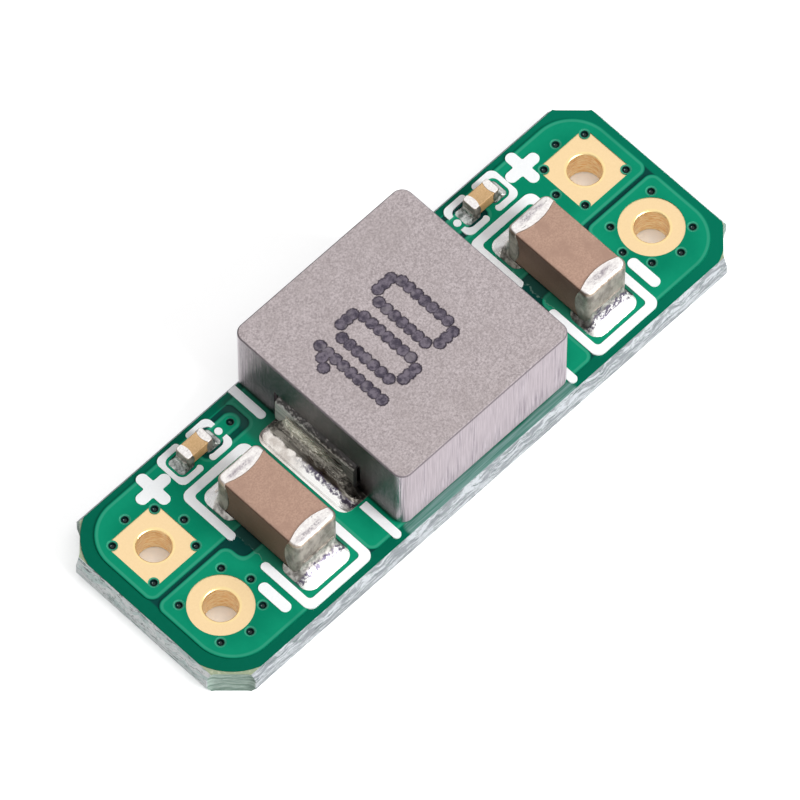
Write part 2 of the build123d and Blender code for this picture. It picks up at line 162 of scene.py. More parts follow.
tree, shader, places = new_finish("glass_fibre_resin", ["substrate"], 0.55, specular=0.2)
wavy = waved(tree, places, (0.9, 0.9, 0.9), 0.40)
bundles = grain(tree, wavy, (1.1, 1.1, 0.13), 4.0, 0.75)
fibres = grain(tree, wavy, (0.50, 0.50, 0.07), 4.0, 0.75)
threads = between(tree, fibres, 0.55, 0.62)
flecks = between(tree, grain(tree, places, (0.12, 0.12, 0.10), 3.0), 0.56, 0.66)
to_x, to_y, to_z = facing(tree)
# Painted light and shade: the fibre colours are lighter on edges facing along X and darker, greyer on edges
# facing along Y.
pale = blend(tree, between(tree, to_y, 0.4, 0.8), (0.97, 1.0, 1.0), (0.56, 0.59, 0.62))
dull = blend(tree, between(tree, to_y, 0.4, 0.8), (0.68, 0.81, 0.79), (0.27, 0.29, 0.31))
web = blend(tree, between(tree, bundles, 0.44, 0.56), dull, pale)
web = blend(tree, times(tree, threads, 0.85), web, (0.14, 0.18, 0.18))
web = blend(tree, times(tree, flecks, 0.5), web, (0.22, 0.29, 0.26))
routed = blend(tree, between(tree, bundles, 0.40, 0.60), (0.20, 0.29, 0.24), (0.42, 0.53, 0.47))
routed = blend(tree, times(tree, threads, 0.75), routed, (0.15, 0.23, 0.18))
edge = blend(tree, between(tree, times(tree, to_x, to_y), 0.1, 0.2), web, routed)
resin = blend(tree, flecks, (0.36, 0.42, 0.28), (0.52, 0.55, 0.40))
tree.links.new(blend(tree, between(tree, to_z, 0.9, 0.95), edge, resin), shader.inputs["Base Color"])
relief(tree, shader, fibres, 0.03, 0.8)

# Copper: foil fields etched under the lacquer on both faces, the plating of the small vias and the coil
# inside the block. Almost all of it is covered, and it shows only through gaps at a pad's edge.
copper_nodes = [name for name in nodes if name.startswith("copper_")]
copper_nodes += ["small_capacitor_tracks", "via_barrels", "inductor_winding"]
tree, shader, places = new_finish("bare_copper", copper_nodes, 0.35, metallic=1.0)
tarnish = grain(tree, places, (0.25, 0.25, 0.25))
tree.links.new(blend(tree, tarnish, (0.70, 0.33, 0.19), (0.86, 0.48, 0.31)), shader.inputs["Base Color"])
relief(tree, shader, tarnish, 0.003)

# Plated holes: a gold-plated copper barrel with a land on each face, square for positive and round for
# negative. The lands are satin from the etched copper under them, and the barrel keeps the drill's marks.
hole_x, hole_y = 8.4, 1.3
bore_rim = 0.565
gold_nodes = [name for name in nodes if name.startswith("plated_hole")]


def from_hole(tree, places):
    """How far a place is from the nearest wire hole's centre, outward along X and along Y."""
    x, y, _ = xyz(tree, places)
    across = calc(tree, "SUBTRACT", calc(tree, "ABSOLUTE", x), hole_x)
    along = calc(tree, "SUBTRACT", calc(tree, "ABSOLUTE", y), hole_y)
    return across, along


def flat_length(tree, across, along):
    """The length of a step across and along the board."""
    step = put(tree, "ShaderNodeCombineXYZ", {0: across, 1: along}).outputs[0]
    return vector(tree, "LENGTH", step, result="Value")


tree, shader, places = new_finish("gold_plating", gold_nodes, 0.38, metallic=1.0)
z = xyz(tree, places)[2]
etched = grain(tree, places, (0.05, 0.05, 0.05), 3.0)
drill = grain(tree, waved(tree, places, (0.3, 0.3, 0.3), 0.1), (0.22, 0.22, 0.03), 4.0)
in_barrel = times(tree, between(tree, z, 1.0, 0.985), between(tree, z, 0.05, 0.065))
across, along = from_hole(tree, places)
from_centre = flat_length(tree, across, along)
gold = blend(tree, etched, (0.90, 0.66, 0.36), (1.0, 0.76, 0.45))
# Painted highlight: a lighter yellow ring round the top of each bore.
bore_rim_highlight = times(tree, between(tree, from_centre, bore_rim + 0.035, bore_rim), 0.6)
gold = blend(tree, bore_rim_highlight, gold, (1.0, 0.80, 0.38))
barrel = blend(tree, between(tree, drill, 0.35, 0.65), (0.80, 0.47, 0.17), (1.0, 0.85, 0.56))
tree.links.new(blend(tree, in_barrel, gold, barrel), shader.inputs["Base Color"])
relief(tree, shader, etched, 0.004)

# Solder mask: green photo-imaged lacquer, curtain-coated over both faces. It stands higher over the foil,
# pales where it thins over the foil's edge, where a painted highlight also runs, darkens over bare core with
# foil below, and sinks into each via.
# The via dimples are painted dark as shade inside a painted highlight ring, and painted shade lies round the
# chips and beside the block.
film_over_foil = 1.05
chip_centre = (5.6, -0.65)
block_centre_x = 0.08
via_ring_radius = 1.145
via_rim_highlight_band = (0.132, 0.158, 0.018)
foil_greens = ((0.002, 0.225, 0.120), (0.004, 0.255, 0.138))
core_greens = ((0.0008, 0.120, 0.068), (0.002, 0.142, 0.084))
via_rim_highlight_green = (0.10, 0.42, 0.28)
# Each outline below is a rounded rectangle of foil on the output end: its centre, half its size, its radius.
foil_outlines = {
    "limit": ((0.0, 0.0), (9.65, 3.04), 1.25),
    "band": ((5.775, 1.57), (3.875, 1.47), 0.25),
    "strip": ((3.105, 0.0), (1.205, 3.04), 0.25),
    "clear": ((4.665, 2.58), (0.895, 0.5), 0.25),
    "track": ((4.65, 2.58), (0.68, 0.25), 0.25),
    "low": ((7.08, -1.91), (2.57, 1.13), 0.25),
    "high": ((8.34, -1.57), (1.31, 1.47), 0.25),
}


def distance_group():
    """Signed distance to a rounded rectangle: the length of what lies past its core, less its radius."""
    sockets = {"Places": "Vector", "Centre": "Vector", "Core": "Vector", "Radius": "Float"}
    group, given = new_group("rounded_rectangle_distance", sockets, "Distance")
    away = vector(group, "SUBTRACT", given["Places"], given["Centre"])
    away = vector(group, "ABSOLUTE", vector(group, "MULTIPLY", away, (1, 1, 0)))
    past = vector(group, "SUBTRACT", away, given["Core"])
    outside = vector(group, "LENGTH", vector(group, "MAXIMUM", past, (0, 0, 0)), result="Value")
    past_x, past_y, _ = xyz(group, past)
    inside = calc(group, "MINIMUM", calc(group, "MAXIMUM", past_x, past_y), 0.0)
    distance = calc(group, "SUBTRACT", calc(group, "ADD", outside, inside), given["Radius"])
    put(group, "NodeGroupOutput", {0: distance})
    return group


rectangle_distance = distance_group()


def rectangle(tree, places, centre, half, radius):
    """The distance in millimetres from a rounded rectangle's edge, negative inside it."""
    core = (half[0] - radius, half[1] - radius, 0.0)
    sockets = {"Places": places, "Centre": (*centre, 0.0), "Core": core, "Radius": radius}
    return put(tree, "ShaderNodeGroup", sockets, node_tree=rectangle_distance).outputs[0]


def mirrored(tree, places):
    """Places of the input end folded onto the output end."""
    x, y, z = xyz(tree, places)
    return put(tree, "ShaderNodeCombineXYZ", {0: calc(tree, "ABSOLUTE", x), 1: y, 2: z}).outputs[0]


def from_foil(tree, places):
    """The distance from the nearest foil edge on the top face, and from the fields' outer limit."""
    folded = mirrored(tree, places)
    d = {name: rectangle(tree, folded, *shape) for name, shape in foil_outlines.items()}
    positive = calc(tree, "MAXIMUM", calc(tree, "MINIMUM", d["band"], d["strip"]), d["limit"])
    positive = calc(tree, "MAXIMUM", positive, times(tree, d["clear"], -1.0))
    ground = calc(tree, "MAXIMUM", calc(tree, "SMOOTH_MIN", d["low"], d["high"], 0.53), d["limit"])
    nearest = calc(tree, "MINIMUM", calc(tree, "MINIMUM", positive, ground), d["track"])
    return nearest, d["limit"]


def via_group():
    """Distance to the nearest via of a wire hole: they stand on a circle, at whole eighths of a turn."""
    group, given = new_group("via_distance", {"Places": "Vector", "Ring Radius": "Float"}, "Distance")
    across, along = from_hole(group, given["Places"])
    eighth = math.pi / 4
    eighths = calc(group, "ROUND", calc(group, "DIVIDE", calc(group, "ARCTAN2", along, across), eighth))
    turn = times(group, eighths, eighth)
    via_across = times(group, calc(group, "COSINE", turn), given["Ring Radius"])
    via_along = times(group, calc(group, "SINE", turn), given["Ring Radius"])
    away_x = calc(group, "SUBTRACT", across, via_across)
    away_y = calc(group, "SUBTRACT", along, via_along)
    no_outer_via = calc(group, "COMPARE", eighths, 0.0, 0.1)
    no_inner_via = calc(group, "COMPARE", eighths, -2.0, 0.1)
    absent = calc(group, "ADD", no_outer_via, no_inner_via)
    distance = calc(group, "ADD", flat_length(group, away_x, away_y), absent)
    put(group, "NodeGroupOutput", {0: distance})
    return group


via_distance = via_group()


def from_via(tree, places):
    """The distance in millimetres from the nearest via of a wire hole."""
    sockets = {"Places": places, "Ring Radius": via_ring_radius}
    return put(tree, "ShaderNodeGroup", sockets, node_tree=via_distance).outputs[0]


def band(tree, value, low, high, soft):
    """1 from low to high, with a soft step at each end."""
    return times(tree, between(tree, value, low - soft, low), between(tree, value, high + soft, high))


tree, shader, places = new_finish("green_lacquer", ["solder_mask_top"], 0.3, specular=0.03)
x, _, z = xyz(tree, places)
from_edge, from_limit = from_foil(tree, places)
ripple = grain(tree, places, (0.35, 0.35, 0.35), 2.0)
pigment = grain(tree, places, (0.12, 0.12, 0.12), 3.0)
clouds = grain(tree, places, (1.6, 1.6, 1.6), 2.0)
over_foil = blend(tree, pigment, *foil_greens)
pooled = blend(tree, pigment, (0.004, 0.275, 0.148), (0.007, 0.305, 0.168))
over_foil = blend(tree, between(tree, from_edge, -0.75, -0.10), over_foil, pooled)
over_core = blend(tree, pigment, *core_greens)
over_core = blend(tree, between(tree, x, 5.0, 9.5), over_core, (0.002, 0.178, 0.102))
over_gap = blend(tree, pigment, (0.003, 0.052, 0.044), (0.006, 0.066, 0.058))
bare = blend(tree, between(tree, from_limit, -0.02, 0.05), over_gap, over_core)
film = blend(tree, between(tree, from_edge, 0.01, 0.06), over_foil, bare)
# Pale line along each foil edge: the lacquer thins there, and the line is also a painted highlight of the
# bulge over the edge.
thin_edge_highlight = times(tree, band(tree, from_edge, -0.045, -0.005, 0.035), 0.45)
film = blend(tree, thin_edge_highlight, film, (0.07, 0.42, 0.27))
film = blend(tree, times(tree, between(tree, clouds, 0.45, 0.8), 0.35), film, (0.0, 0.16, 0.09))
# Painted highlight: a pale ring round each via, where the dimple's rim catches the light.
via_rim_highlights = times(tree, band(tree, from_via(tree, places), *via_rim_highlight_band), 0.45)
film = blend(tree, via_rim_highlights, film, via_rim_highlight_green)
# Painted shade: the via dimples over foil are painted near black, with a glossy coat.
in_dimple = between(tree, z, film_over_foil - 0.011, film_over_foil - 0.018)
shaded_dimple = times(tree, in_dimple, between(tree, from_edge, -0.05, -0.07))
# Painted contact shade round each large chip's foot, with some flux; a pale mottled rim marks its edge.
from_chip = rectangle(tree, mirrored(tree, places), chip_centre, (0.98, 1.9), 0.3)
from_chip = calc(tree, "ADD", from_chip, swing(tree, ripple, 0.35))
shade_and_flux = times(tree, between(tree, from_chip, 0.03, 0.0), 0.45)
film = blend(tree, shade_and_flux, film, (0.035, 0.085, 0.070))
# Painted shade and painted dark reflection of the block on the lacquer beside it, with some flux film.
from_block = rectangle(tree, places, (block_centre_x, 0.95), (4.15, 2.15), 0.3)
from_block = calc(tree, "ADD", from_block, swing(tree, clouds, 0.9))
shade_and_flux = times(tree, between(tree, from_block, 0.25, -0.1), 0.5)
film = blend(tree, shade_and_flux, film, (0.033, 0.080, 0.066))
flux_rim = times(tree, band(tree, from_chip, 0.0, 0.02, 0.02), between(tree, pigment, 0.40, 0.60))
film = blend(tree, times(tree, flux_rim, 0.3), film, (0.35, 0.50, 0.42))
# A paler, streaked teal strip on the lacquer just in front of the block's −Y face.
from_side = rectangle(tree, places, (block_centre_x, -3.3), (3.2, 0.17), 0.1)
front_strip_distance = calc(tree, "ADD", from_side, swing(tree, clouds, 0.3))
runs = between(tree, grain(tree, places, (2.5, 0.07, 0.5), 3.0), 0.35, 0.65)
streaked_teal = blend(tree, runs, (0.085, 0.225, 0.185), (0.235, 0.37, 0.35))
film = blend(tree, times(tree, between(tree, front_strip_distance, 0.10, -0.04), 0.85), film, streaked_teal)
# Painted shade in the via dimples.
film = blend(tree, shaded_dimple, film, (0.001, 0.022, 0.020))
tree.links.new(times(tree, shaded_dimple, 0.7), shader.inputs["Coat Weight"])
shader.inputs["Coat Roughness"].default_value = 0.12
tree.links.new(film, shader.inputs["Base Color"])
relief(tree, shader, ripple, 0.006, 0.6)

# The underside's film covers other foil, and its height shows where: it hangs lowest over the foil.
film_under_foil = 0.010
tree, shader, places = new_finish("green_lacquer_underside", ["solder_mask_underside"], 0.3, specular=0.03)
z = xyz(tree, places)[2]
ripple = grain(tree, places, (0.35, 0.35, 0.35), 2.0)
pigment = grain(tree, places, (0.12, 0.12, 0.12), 3.0)
clouds = grain(tree, places, (1.6, 1.6, 1.6), 2.0)
over_foil = blend(tree, pigment, *foil_greens)
cloudy = times(tree, between(tree, clouds, 0.45, 0.8), 0.4)
over_foil = blend(tree, cloudy, over_foil, (0.0, 0.17, 0.095))
over_core = blend(tree, pigment, *core_greens)
film = blend(tree, between(tree, z, film_under_foil + 0.012, film_under_foil), over_core, over_foil)
# Painted highlight: a pale ring round each via, as on the top face.
via_rim_highlights = times(tree, band(tree, from_via(tree, places), *via_rim_highlight_band), 0.35)
tree.links.new(blend(tree, via_rim_highlights, film, via_rim_highlight_green), shader.inputs["Base Color"])
relief(tree, shader, ripple, 0.006, 0.6)

# Legend: white ink screened over the lacquer, with polarity signs at the wire holes and brackets round the
# parts. The ink is chalky, thins a little in cloudy patches and takes the lacquer's slight waves.
tree, shader, places = new_finish("white_ink", ["silkscreen_legend"], 0.6, specular=0.2)
body = grain(tree, places, (0.10, 0.10, 0.10), 4.0)
thin = grain(tree, places, (0.5, 0.5, 0.5), 2.0)
ink = blend(tree, body, (0.94, 0.97, 0.99), (1.0, 1.0, 1.0))
ink = blend(tree, between(tree, thin, 0.60, 0.9), ink, (0.80, 0.88, 0.90))
tree.links.new(ink, shader.inputs["Base Color"])
relief(tree, shader, body, 0.006)

# Solder joints: reflowed tin-silver paste. On its pad it froze bright, with a painted highlight making it
# brighter toward −Y, and a mottled flux line lies round the foot of each part. The fillet that climbs the
# part is grey, streaked along the wide strips; on the inductor's terminals it carries a painted cream
# highlight high up and a painted dark reflection lower down.
small_chip_centre = (5.58, 2.59)
everywhere = (-9.0, -8.0)
nowhere = 9.0
chip_ends = [f"capacitor_{end}_{net}" for end in ("input", "output") for net in ("positive", "ground")]
# Below, a part is its wall's outline. Heads lie above a height, the flux line and the pad's rim at a distance
# from the wall, tilts and swells are slopes in the bump, and skins take away shine.
joints = {
    "chip_solder": {
        "nodes": ["solder_" + name for name in chip_ends],
        "part": (chip_centre, (0.8, 1.6), 0.1),
        "head_height": (1.28, 1.48),
        "head_along_y": everywhere,
        "head_skin": 0.0,
        "foot_swell": 0.0,
        "pad_tilt": -0.4,
        "pad_rim": nowhere,
        "tilt_along_y": (-0.5, 0.5),
        "pad_polish": 0.3,
        "flux_line": (0.10, 0.22),
        "wrinkles": (0.16, 0.16, 0.16),
        "pad": ((0.86, 0.84, 0.84), (0.98, 0.97, 0.96)),
        "pad_skin": 0.6,
        "foot": ((0.17, 0.16, 0.15), (0.50, 0.48, 0.45)),
        "head": ((0.26, 0.25, 0.23), (0.66, 0.63, 0.59)),
    },
    "small_chip_solder": {
        "nodes": ["solder_small_" + name for name in chip_ends],
        "part": (small_chip_centre, (0.5, 0.26), 0.05),
        "head_height": (1.15, 1.25),
        "head_along_y": everywhere,
        "head_skin": 0.0,
        "foot_swell": 0.0,
        "pad_tilt": -0.4,
        "pad_rim": nowhere,
        "tilt_along_y": (-0.5, 0.5),
        "pad_polish": 0.3,
        "flux_line": (0.06, 0.10),
        "wrinkles": (0.10, 0.10, 0.10),
        "pad": ((0.12, 0.14, 0.13), (0.66, 0.67, 0.65)),
        "pad_skin": 0.3,
        "foot": ((0.10, 0.11, 0.10), (0.42, 0.43, 0.40)),
        "head": ((0.30, 0.31, 0.29), (0.72, 0.71, 0.66)),
    },
    "terminal_solder": {
        "nodes": ["solder_inductor_input", "solder_inductor_output"],
        "part": ((2.4, 0.0), (0.98, 1.5), 0.05),
        "head_height": (1.46, 1.66),
        "head_along_y": (-0.8, 0.3),
        "head_skin": 0.22,
        "foot_swell": 1.0,
        "pad_tilt": -0.38,
        "pad_rim": 0.64,
        "tilt_along_y": everywhere,
        "pad_polish": 0.6,
        "flux_line": (0.33, 0.46),
        "wrinkles": (0.07, 0.9, 0.07),
        "pad": ((0.66, 0.60, 0.55), (0.93, 0.88, 0.82)),
        "pad_skin": 0.2,
        # On the terminals the foot colour is a painted dark reflection and the head colour a painted cream
        # highlight.
        "foot": ((0.085, 0.077, 0.067), (0.29, 0.27, 0.235)),
        "head": ((0.78, 0.73, 0.60), (1.0, 0.97, 0.85)),
    },
}
tilt_past_rim = 0.2
for name, joint in joints.items():
    tree, shader, places = new_finish(name, joint["nodes"], 0.25, metallic=1.0)
    _, y, z = xyz(tree, places)
    wrinkle = grain(tree, places, joint["wrinkles"], 4.0)
    frost = grain(tree, places, (0.25, 0.25, 0.25), 4.0)
    mottle = grain(tree, places, (0.10, 0.10, 0.10), 3.0)
    straight = rectangle(tree, mirrored(tree, places), *joint["part"])
    from_part = calc(tree, "ADD", straight, swing(tree, frost, 0.25))
    level = calc(tree, "ADD", z, swing(tree, frost, 0.3))
    low, high = joint["flux_line"]
    streak = between(tree, wrinkle, 0.36, 0.64)
    flat = blend(tree, between(tree, frost, 0.35, 0.65), *joint["pad"])
    # Painted highlight: the pad turns brighter toward −Y.
    flat = blend(tree, between(tree, y, 0.8, -0.3), flat, (1.0, 0.99, 0.96))
    foot = blend(tree, streak, *joint["foot"])
    head = blend(tree, streak, *joint["head"])
    on_pad = between(tree, from_part, low, low + 0.05)
    raised = between(tree, level, *joint["head_height"])
    raised = times(tree, raised, between(tree, y, *joint["head_along_y"]))
    metal = blend(tree, raised, foot, head)
    metal = blend(tree, on_pad, metal, flat)
    line = times(tree, band(tree, from_part, low, high, 0.04), between(tree, mottle, 0.38, 0.56))
    line = times(tree, line, between(tree, y, 0.7, -0.3))
    tree.links.new(blend(tree, line, metal, (0.11, 0.095, 0.14)), shader.inputs["Base Color"])
    dulled = times(tree, on_pad, joint["pad_skin"])
    dulled = calc(tree, "ADD", dulled, times(tree, raised, joint["head_skin"] * 2))
    crease = band(tree, straight, joint["pad_rim"] - 0.02, joint["pad_rim"] + 0.02, 0.02)
    dulled = calc(tree, "MAXIMUM", dulled, crease)
    tree.links.new(calc(tree, "SUBTRACT", 1.0, dulled), shader.inputs["Metallic"])
    dull = between(tree, frost, 1.2, -0.4)
    dull = calc(tree, "SUBTRACT", dull, times(tree, raised, joint["head_skin"]))
    kept = calc(tree, "SUBTRACT", 1.0, times(tree, on_pad, joint["pad_polish"]))
    tree.links.new(times(tree, dull, kept), shader.inputs["Roughness"])
    swell = times(tree, calc(tree, "MINIMUM", from_part, 0.22), joint["foot_swell"])
    fall = calc(tree, "MINIMUM", calc(tree, "MAXIMUM", straight, low), joint["pad_rim"])
    fall = times(tree, fall, joint["pad_tilt"])
    past_rim = calc(tree, "MAXIMUM", calc(tree, "SUBTRACT", straight, joint["pad_rim"]), 0.0)
    fall = calc(tree, "ADD", fall, times(tree, past_rim, tilt_past_rim))
    fall = times(tree, fall, between(tree, y, *joint["tilt_along_y"]))
    height = calc(tree, "SUBTRACT", swell, fall)
    relief(tree, shader, calc(tree, "ADD", height, times(tree, wrinkle, 0.007)), 1.0)

# Terminals: tinned copper strip, drawn along its length, brought out of the block, bent down its side and
# folded under it. The draw lines run with the strip. The fold carries a painted highlight line, the face is
# painted dark as a reflection except toward the +Y end, and the end faces are painted dark as shade in the
# pocket.
strip_nodes = ["inductor_terminal_input", "inductor_terminal_output"]
tree, shader, places = new_finish("tinned_strip", strip_nodes, 0.32, metallic=0.25)
_, y, z = xyz(tree, places)
drawn = grain(tree, places, (0.05, 1.1, 0.05), 4.0)
level = calc(tree, "ADD", z, swing(tree, grain(tree, places, (0.14, 0.14, 0.14), 3.0), 0.22))
grit = grain(tree, places, (0.06, 0.12, 0.06), 3.0)
# Painted reflection: the strip's face is painted dark with draw streaks, except toward the +Y end.
dark_reflection_tin = blend(tree, between(tree, drawn, 0.40, 0.62), (0.05, 0.047, 0.045), (0.36, 0.34, 0.32))
bright_tin = blend(tree, between(tree, drawn, 0.35, 0.65), (0.45, 0.45, 0.43), (0.85, 0.84, 0.80))
tin = blend(tree, between(tree, y, 0.85, 1.25), dark_reflection_tin, bright_tin)
# Above the fold the strip is dark and gritty.
darkening = blend(tree, between(tree, grit, 0.52, 0.66), (0.045, 0.042, 0.040), (0.34, 0.32, 0.30))
fold = 2.14
# Painted highlight: a bright broken line at the fold, where the edge catches the light.
fold_highlight = times(tree, band(tree, level, fold - 0.04, fold, 0.03), between(tree, grit, 0.42, 0.56))
tin = blend(tree, fold_highlight, tin, (0.80, 0.77, 0.72))
tin = blend(tree, between(tree, level, fold + 0.03, fold + 0.06), tin, darkening)
to_y = facing(tree)[1]
# Painted shade of the pocket, with some dirt: the end faces, facing along Y, are near black.
tin = blend(tree, between(tree, to_y, 0.6, 0.8), tin, (0.05, 0.048, 0.046))
tree.links.new(tin, shader.inputs["Base Color"])
tree.links.new(between(tree, drawn, -0.4, 1.6), shader.inputs["Roughness"])
relief(tree, shader, drawn, 0.01, 0.6)

# Inductor block: iron powder bound with resin and pressed round the coil, matte and speckled on top, with
# the die's draw lines down its sides. A laser burnt the value 100 into the top as rows of dots.
block_top = 3.715
dot_radius = 0.192
# Each row of dots below is its first dot's centre, the step to the next dot and the number of dots.
dot_rows = [
    ((-1.814, 1.457), (0.0, -0.299), 9),
    ((-2.046, 1.158), (-0.193, -0.260), 2),
    ((-1.216, 1.206), (0.0, -0.301), 7),
    ((-0.318, 1.255), (0.0, -0.301), 7),
    ((-0.936, 1.525), (0.226, 0.0), 3),
    ((-0.936, -0.888), (0.226, 0.0), 3),
    ((0.290, 1.283), (0.0, -0.299), 7),
    ((1.206, 1.322), (0.0, -0.296), 7),
    ((0.550, 1.592), (0.255, 0.0), 3),
    ((0.550, -0.801), (0.255, 0.0), 3),
]


def dot_row_group():
    """Distance to the nearest of a row of dots: the place less the start, rounded to whole steps along it."""
    sockets = {"Places": "Vector", "Start": "Vector", "Step": "Vector", "Last": "Float"}
    group, given = new_group("row_of_dots", sockets, "Distance")
    away = vector(group, "SUBTRACT", given["Places"], given["Start"])
    away = vector(group, "MULTIPLY", away, (1, 1, 0))
    along = vector(group, "DOT_PRODUCT", away, given["Step"], result="Value")
    square = vector(group, "DOT_PRODUCT", given["Step"], given["Step"], result="Value")
    count = calc(group, "ROUND", calc(group, "DIVIDE", along, square))
    count = calc(group, "MINIMUM", calc(group, "MAXIMUM", count, 0.0), given["Last"])
    reached = put(group, "ShaderNodeVectorMath", {0: given["Step"], "Scale": count}, operation="SCALE")
    left = vector(group, "SUBTRACT", away, reached.outputs[0])
    put(group, "NodeGroupOutput", {0: vector(group, "LENGTH", left, result="Value")})
    return group


dot_row = dot_row_group()
tree, shader, places = new_finish("pressed_powder", ["inductor_body"], 0.6, specular=0.05)
to_x = facing(tree)[0]
_, y, z = xyz(tree, places)
frayed = grain(tree, places, (0.06, 0.06, 0.06), 2.0)
from_dot = nowhere
for start, step, count in dot_rows:
    sockets = {"Places": places, "Start": (*start, 0.0), "Step": (*step, 0.0), "Last": count - 1.0}
    row = put(tree, "ShaderNodeGroup", sockets, node_tree=dot_row).outputs[0]
    from_dot = calc(tree, "MINIMUM", row, from_dot)
from_dot = calc(tree, "ADD", from_dot, swing(tree, frayed, 0.08))
on_top = between(tree, z, block_top - 0.012, block_top - 0.004)
burnt = times(tree, between(tree, from_dot, dot_radius, dot_radius - 0.03), on_top)
scorched = times(tree, band(tree, from_dot, dot_radius - 0.025, dot_radius - 0.005, 0.022), on_top)
powder = grain(tree, places, (0.055, 0.055, 0.055), 3.0, 0.7)
clumps = grain(tree, places, (0.4, 0.4, 0.4), 3.0)
top = blend(tree, between(tree, powder, 0.3, 0.7), (0.35, 0.30, 0.305), (0.64, 0.565, 0.575))
top = blend(tree, times(tree, between(tree, clumps, 0.4, 0.8), 0.4), top, (0.42, 0.36, 0.36))
drifts = grain(tree, places, (2.2, 2.2, 2.2), 3.0)
top = blend(tree, times(tree, between(tree, drifts, 0.35, 0.7), 0.25), top, (0.40, 0.345, 0.34))
sparks = between(tree, grain(tree, places, (0.03, 0.03, 0.03), 1.0), 0.72, 0.78)
top = blend(tree, times(tree, sparks, 0.6), top, (0.85, 0.80, 0.80))
lines = grain(tree, places, (0.04, 0.04, 1.2), 4.0)
stripes = grain(tree, places, (0.35, 0.35, 4.0), 2.0)
drawn = between(tree, lines, 0.35, 0.65)
smooth = blend(tree, drawn, (0.42, 0.368, 0.400), (0.53, 0.472, 0.505))
scored = blend(tree, drawn, (0.28, 0.243, 0.272), (0.57, 0.51, 0.55))
near_board = times(tree, between(tree, z, 2.6, 1.2), 0.12)
side = blend(tree, between(tree, calc(tree, "ADD", stripes, near_board), 0.50, 0.66), smooth, scored)
scuffed = between(tree, grain(tree, places, (0.05, 0.09, 0.05), 4.0, 0.7), 0.40, 0.62)
scuffed = times(tree, scuffed, calc(tree, "ADD", times(tree, drawn, 0.85), 0.40))
# Painted shade: the sides facing along X are painted dark with streaks, fading toward the +Y corner.
shaded_side = blend(tree, scuffed, (0.070, 0.058, 0.060), (0.195, 0.168, 0.172))
darkening = calc(tree, "ADD", times(tree, between(tree, y, 3.5, 2.4), 0.62), 0.28)
side = blend(tree, times(tree, between(tree, to_x, 0.90, 0.99), darkening), side, shaded_side)
below_edge = between(tree, z, block_top - 0.02, block_top - 0.06)
burnished = times(tree, between(tree, to_x, 0.4, 0.8), below_edge)
tree.links.new(burnished, shader.inputs["Metallic"])
matte = calc(tree, "SUBTRACT", 0.6, times(tree, burnished, 0.35))
tree.links.new(matte, shader.inputs["Roughness"])
# Painted shade: a dark line just under the top edge, where the edge chamfer lies in shade.
edge_shade_line = band(tree, z, block_top - 0.045, block_top - 0.012, 0.01)
side = blend(tree, times(tree, edge_shade_line, 0.75), side, (0.14, 0.12, 0.13))
colour = blend(tree, on_top, side, top)
ash = grain(tree, places, (0.16, 0.16, 0.16), 3.0)
charred = blend(tree, between(tree, ash, 0.36, 0.64), (0.075, 0.064, 0.088), (0.20, 0.172, 0.212))
ashen = times(tree, between(tree, clumps, 0.52, 0.72), 0.6)
charred = blend(tree, ashen, charred, (0.27, 0.24, 0.26))
colour = blend(tree, burnt, colour, charred)
colour = blend(tree, times(tree, scorched, 0.8), colour, (0.035, 0.028, 0.042))
tree.links.new(colour, shader.inputs["Base Color"])
height = calc(tree, "SUBTRACT", blend(tree, on_top, lines, powder), times(tree, burnt, 1.2))
relief(tree, shader, height, 0.012)

# Ceramic of the capacitors: fired barium titanate blocks, matte with fine grains. The large ones are a
# greyed brown and the small ones a warmer tan.
ceramics = {
    "large_ceramic": {
        "nodes": ["capacitor_input_ceramic", "capacitor_output_ceramic"],
        "dark": (0.44, 0.28, 0.215),
        "light": (0.55, 0.36, 0.275),
        "wall": (0.30, 0.20, 0.15),
        "dark_rounded_edge": 0.55,
    },
    "small_ceramic": {
        "nodes": ["small_capacitor_input_ceramic", "small_capacitor_output_ceramic"],
        "dark": (0.68, 0.43, 0.21),
        "light": (0.82, 0.55, 0.30),
        "wall": (0.55, 0.26, 0.07),
        "dark_rounded_edge": 0.0,
    },
}
for name, ceramic in ceramics.items():
    tree, shader, places = new_finish(name, ceramic["nodes"], 0.5, specular=0.04)
    fired = grain(tree, places, (0.05, 0.05, 0.05), 3.0)
    patches = grain(tree, places, (0.5, 0.5, 0.5), 2.0)
    clay = blend(tree, between(tree, fired, 0.3, 0.7), ceramic["dark"], ceramic["light"])
    clay = blend(tree, between(tree, patches, 0.45, 0.75), clay, ceramic["dark"])
    to_x, _, to_z = facing(tree)
    clay = blend(tree, times(tree, between(tree, to_z, 0.6, 0.4), 0.35), clay, ceramic["wall"])
    # Darker brown along the rounded edges of the large chips.
    dark_rounded_edge = times(tree, band(tree, to_z, 0.35, 0.70, 0.15), ceramic["dark_rounded_edge"])
    clay = blend(tree, dark_rounded_edge, clay, (0.12, 0.07, 0.05))
    # Painted shade: the ceramic's sides facing along X are darkened.
    x_side_shade = times(tree, between(tree, to_x, 0.5, 0.8), 0.4)
    tree.links.new(blend(tree, x_side_shade, clay, (0.06, 0.045, 0.035)), shader.inputs["Base Color"])
    relief(tree, shader, fired, 0.004)

